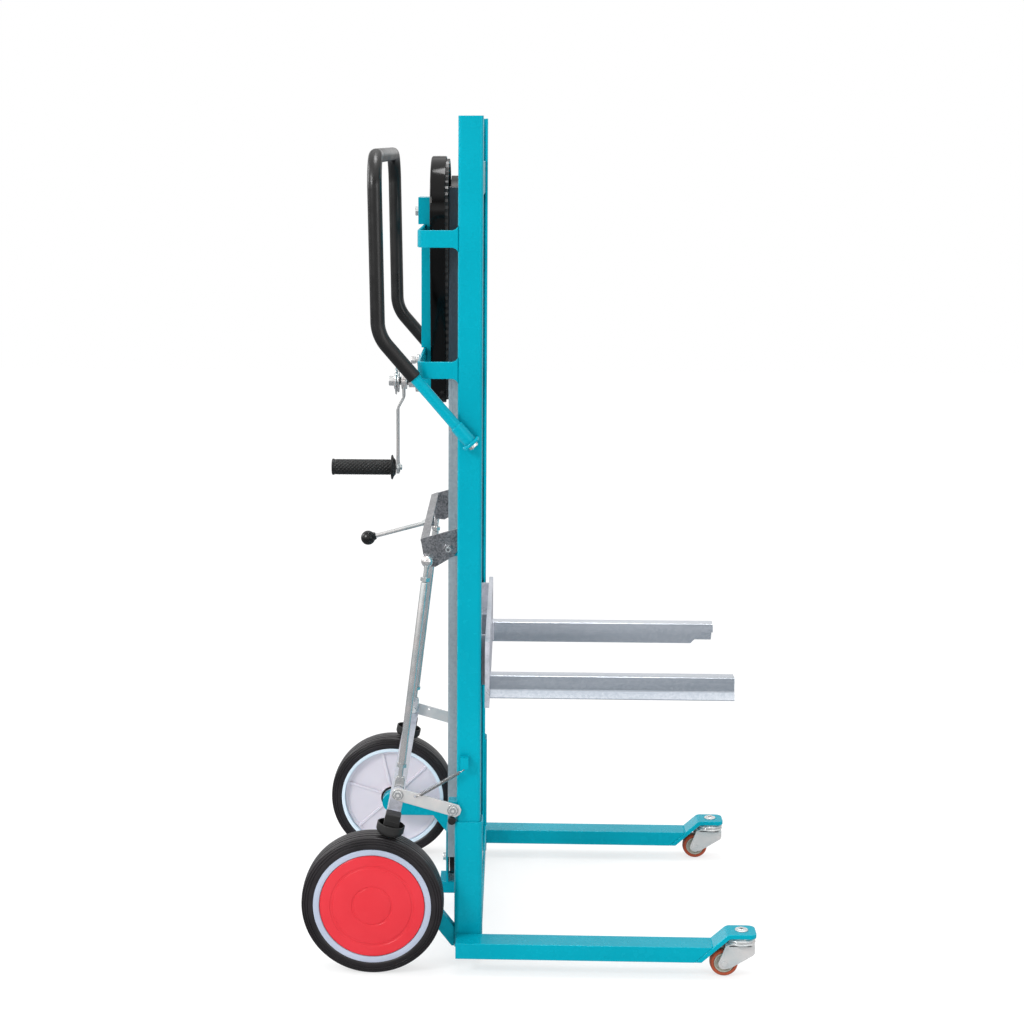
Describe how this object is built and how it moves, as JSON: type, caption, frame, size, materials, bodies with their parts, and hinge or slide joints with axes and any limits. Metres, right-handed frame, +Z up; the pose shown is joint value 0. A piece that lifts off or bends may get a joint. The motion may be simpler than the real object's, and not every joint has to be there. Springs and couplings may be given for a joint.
{
  "type": "fork lifting trolley",
  "caption": "Upright hand-cranked lifting trolley: wheeled mast with a fork carriage on a belt, geared crank, push handle and rear wheel brake.",
  "frame": {"origin": "on the floor under the middle of the trolley's length and width", "axes": "+X forward along the forks, +Y to the trolley's left as seen by the operator behind it, +Z up"},
  "size_m": [0.7956, 0.645, 1.484],
  "materials": {
    "teal_paint": "smooth turquoise powder coat",
    "galvanised_steel": "dull galvanised sheet",
    "zinc_plate": "bright zinc plate",
    "black_plastic": "satin black moulding",
    "tyre_rubber": "matt black tread with grooves",
    "shoe_rubber": "matt black rubber",
    "rim_plastic": "pale grey moulding",
    "red_cap": "glossy red moulding",
    "caster_tread": "brown polyurethane"
  },
  "bodies": {
    "mast_frame": {"upright_near": "teal_paint", "upright_far": "teal_paint", "post_near": "teal_paint", "post_far": "teal_paint", "top_cross_member": "teal_paint", "bottom_cross_member": "teal_paint", "front_cross_plate": "teal_paint", "leg_near": "teal_paint", "leg_far": "teal_paint", "caster_strap_near": "teal_paint", "caster_strap_far": "teal_paint", "wheel_arm_near": "teal_paint", "wheel_arm_far": "teal_paint", "tension_bracket": "teal_paint", "upper_stay": "teal_paint", "lower_stay": "teal_paint", "support_bar": "teal_paint", "handle_tube": "teal_paint", "handle_sleeve": "black_plastic", "lift_column": "galvanised_steel", "lift_belt": "black_plastic", "drive_case": "black_plastic", "drive_chain": "black_plastic", "winch_bolt": "zinc_plate", "brake_spring": "zinc_plate"},
    "fork_carriage": {"carriage": "galvanised_steel", "guide_block_near": "black_plastic", "guide_block_far": "black_plastic", "tine_near": "galvanised_steel", "tine_far": "galvanised_steel"},
    "top_drive": {"top_shaft": "zinc_plate", "large_sprocket": "zinc_plate", "top_pulley": "black_plastic"},
    "lower_pulley": {"bottom_pulley": "black_plastic"},
    "crank": {"crank_shaft": "zinc_plate", "pressure_disc": "zinc_plate", "crank_arm": "zinc_plate"},
    "crank_handgrip": {"crank_grip": "black_plastic"},
    "wheel_near": {"tyre_near": "tyre_rubber", "rim_near": "rim_plastic", "wheel_cap_near": "red_cap"},
    "wheel_far": {"tyre_far": "tyre_rubber", "rim_far": "rim_plastic", "wheel_cap_far": "red_cap"},
    "caster_near": {"caster_fork_near": "zinc_plate"},
    "caster_far": {"caster_fork_far": "zinc_plate"},
    "caster_wheel_near": {"caster_tyre_near": "caster_tread", "caster_hub_near": "rim_plastic"},
    "caster_wheel_far": {"caster_tyre_far": "caster_tread", "caster_hub_far": "rim_plastic"},
    "rocker": {"brake_rocker": "galvanised_steel", "brake_lever": "zinc_plate", "lever_knob": "black_plastic"},
    "rod_near": {"brake_rod_near": "zinc_plate"},
    "rod_far": {"brake_rod_far": "zinc_plate"},
    "brake": {"brake_bar": "galvanised_steel", "brake_shoe_near": "shoe_rubber", "brake_shoe_far": "shoe_rubber", "brake_link_near": "zinc_plate", "brake_link_far": "zinc_plate"}
  },
  "joints": [
    {"name": "lift", "type": "slide", "parent": "mast_frame", "child": "fork_carriage", "axis": [0, 0, 1], "range_m": [-0.384, 0.72]},
    {"name": "top_drive_turn", "type": "hinge", "parent": "mast_frame", "child": "top_drive", "pos_m": [-0.14883, 0, 1.318], "axis": [1, 0, 0], "continuous": true},
    {"name": "lower_pulley_turn", "type": "hinge", "parent": "mast_frame", "child": "lower_pulley", "pos_m": [-0.13793, 0, 0.134], "axis": [1, 0, 0], "continuous": true},
    {"name": "crank_turn", "type": "hinge", "parent": "mast_frame", "child": "crank", "pos_m": [-0.20493, 0, 1.01], "axis": [1, 0, 0], "continuous": true},
    {"name": "grip_spin", "type": "hinge", "parent": "crank", "child": "crank_handgrip", "pos_m": [-0.30493, 0, 0.85], "axis": [1, 0, 0], "continuous": true},
    {"name": "wheel_near_spin", "type": "hinge", "parent": "mast_frame", "child": "wheel_near", "pos_m": [-0.27283, -0.295, 0.125], "axis": [0, 1, 0], "continuous": true},
    {"name": "wheel_far_spin", "type": "hinge", "parent": "mast_frame", "child": "wheel_far", "pos_m": [-0.27283, 0.295, 0.125], "axis": [0, 1, 0], "continuous": true},
    {"name": "caster_near_swivel", "type": "hinge", "parent": "mast_frame", "child": "caster_near", "pos_m": [0.37283, -0.296, 0.07], "axis": [0, 0, 1], "continuous": true},
    {"name": "caster_far_swivel", "type": "hinge", "parent": "mast_frame", "child": "caster_far", "pos_m": [0.37283, 0.296, 0.07], "axis": [0, 0, 1], "continuous": true},
    {"name": "caster_near_roll", "type": "hinge", "parent": "caster_near", "child": "caster_wheel_near", "pos_m": [0.34323, -0.296, 0.025], "axis": [0, 1, 0], "continuous": true},
    {"name": "caster_far_roll", "type": "hinge", "parent": "caster_far", "child": "caster_wheel_far", "pos_m": [0.34323, 0.296, 0.025], "axis": [0, 1, 0], "continuous": true},
    {"name": "brake_swing", "type": "hinge", "parent": "mast_frame", "child": "brake", "pos_m": [-0.13303, 0, 0.2869], "axis": [0, 1, 0], "range_deg": [0, 7.4], "deforming": ["brake_spring"]},
    {"name": "rocker_tilt", "type": "hinge", "parent": "mast_frame", "child": "rocker", "pos_m": [-0.14373, 0, 0.7426], "axis": [0, 1, 0], "range_deg": [0, 20]},
    {"name": "rod_near_swing", "type": "hinge", "parent": "rocker", "child": "rod_near", "pos_m": [-0.17983, -0.233, 0.7223], "axis": [0, 1, 0], "range_deg": [-22, 0]},
    {"name": "rod_far_swing", "type": "hinge", "parent": "rocker", "child": "rod_far", "pos_m": [-0.17983, 0.233, 0.7223], "axis": [0, 1, 0], "range_deg": [-22, 0]}
  ],
  "couplings": [
    {"joint": "top_drive_turn", "follows": "lift", "rad_per_m": 16.393},
    {"joint": "lower_pulley_turn", "follows": "lift", "rad_per_m": 16.393},
    {"joint": "crank_turn", "follows": "lift", "rad_per_m": 52.963},
    {"joint": "rocker_tilt", "follows": "brake_swing", "ratio": 2.67},
    {"joint": "rod_near_swing", "follows": "brake_swing", "ratio": -2.845},
    {"joint": "rod_far_swing", "follows": "brake_swing", "ratio": -2.845}
  ]
}
